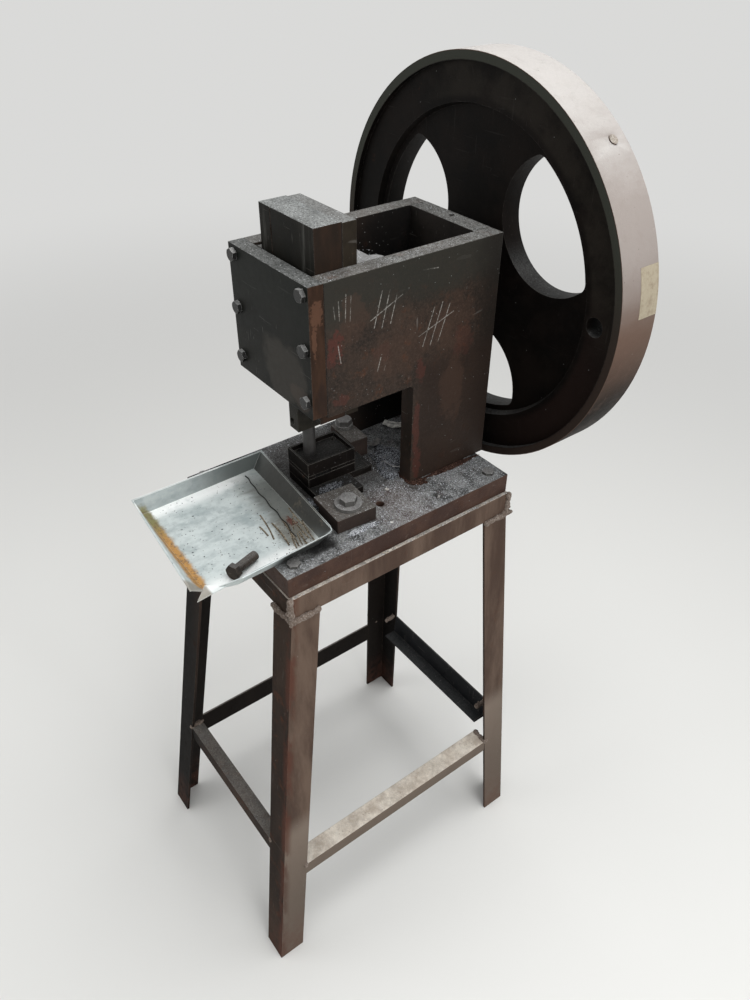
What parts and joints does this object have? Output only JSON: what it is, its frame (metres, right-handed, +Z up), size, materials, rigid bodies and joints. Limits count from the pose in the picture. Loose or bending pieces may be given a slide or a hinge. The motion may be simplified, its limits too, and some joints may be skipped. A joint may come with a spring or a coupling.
{
  "type": "flywheel crank press",
  "caption": "Small bench crank press on a splayed angle-iron stand: boxy plate head with a square ram, clamped die set, sheet tray, and a big flywheel with windows behind.",
  "frame": {"origin": "on the floor, under the middle of the whole object's box", "axes": "+Z up; +Y from the tray and front cover back to the flywheel, along the shaft; +X to the right seen from the front"},
  "size_m": [0.62, 0.671, 1.49],
  "materials": {
    "head_steel": "mill scale gone to brown rust over old red primer, oily",
    "cover_steel": "dark oily plate",
    "stand_steel": "brown oxidised angle iron under dust",
    "bed_steel": "oxidised plate, its top under grey dust and swarf",
    "ram_steel": "oiled brown steel with sliding streaks",
    "flywheel_iron": "old machined casting, dusty on top",
    "fastener_steel": "blackened, worn bright at the corners",
    "rusty_steel": "rusted dark",
    "clamp_steel": "dark oiled steel, dusty",
    "tool_steel": "black oiled tool steel",
    "bright_steel": "machined and oiled",
    "bronze": "oiled bronze",
    "galvanised_sheet": "bright galvanised sheet with an oil stain"
  },
  "bodies": {
    "frame": {"rail_front": "stand_steel", "rail_right": "stand_steel", "rail_rear": "stand_steel", "rail_left": "stand_steel", "leg_front_right": "stand_steel", "leg_front_left": "stand_steel", "leg_rear_right": "stand_steel", "leg_rear_left": "stand_steel", "stretcher_right": "stand_steel", "stretcher_left": "stand_steel", "stretcher_front": "stand_steel", "stretcher_rear": "stand_steel", "bed_plate": "bed_steel", "bed_bolts": "fastener_steel", "bed_nuts": "fastener_steel", "side_plate_right": "head_steel", "side_plate_left": "head_steel", "guide_plate": "head_steel", "rear_plate": "head_steel", "front_cover": "cover_steel", "cover_bolts": "fastener_steel", "wear_plate": "bright_steel", "wear_plate_screws": "fastener_steel", "gib_strip": "bright_steel", "gib_screws": "fastener_steel", "gib_nuts": "fastener_steel", "bush_front": "bronze", "bush_rear": "bronze", "die_shoe": "tool_steel", "die_block": "tool_steel", "strip_guides": "tool_steel", "stripper_plate": "tool_steel", "die_screws": "fastener_steel", "clamp_right": "clamp_steel", "clamp_left": "clamp_steel", "clamp_washers": "fastener_steel", "clamp_bolts": "fastener_steel", "tray": "galvanised_sheet", "loose_bolt": "rusty_steel"},
    "crankshaft": {"crankshaft": "bright_steel", "flywheel": "flywheel_iron", "flywheel_key": "bright_steel", "hub_washer": "fastener_steel", "hub_nut": "fastener_steel", "rim_plug": "fastener_steel", "thrust_collar": "bright_steel", "collar_screw": "fastener_steel"},
    "slide_block": {"slide_block": "bronze"},
    "ram": {"ram": "ram_steel", "ram_yoke_plate": "ram_steel", "yoke_screws": "fastener_steel", "punch_holder": "tool_steel", "holder_screws": "fastener_steel", "punch": "tool_steel"}
  },
  "joints": [
    {"name": "flywheel_spin", "type": "hinge", "parent": "frame", "child": "crankshaft", "pos_m": [0, 0.2135, 1.18], "axis": [0, 1, 0], "continuous": true},
    {"name": "block_pivot", "type": "hinge", "parent": "crankshaft", "child": "slide_block", "pos_m": [0, -0.0195, 1.17], "axis": [0, 1, 0], "continuous": true},
    {"name": "ram_slide", "type": "slide", "parent": "frame", "child": "ram", "axis": [0, 0, 1], "range_m": [0, 0.02]}
  ],
  "couplings": [
    {"joint": "block_pivot", "follows": "flywheel_spin", "ratio": -1}
  ]
}
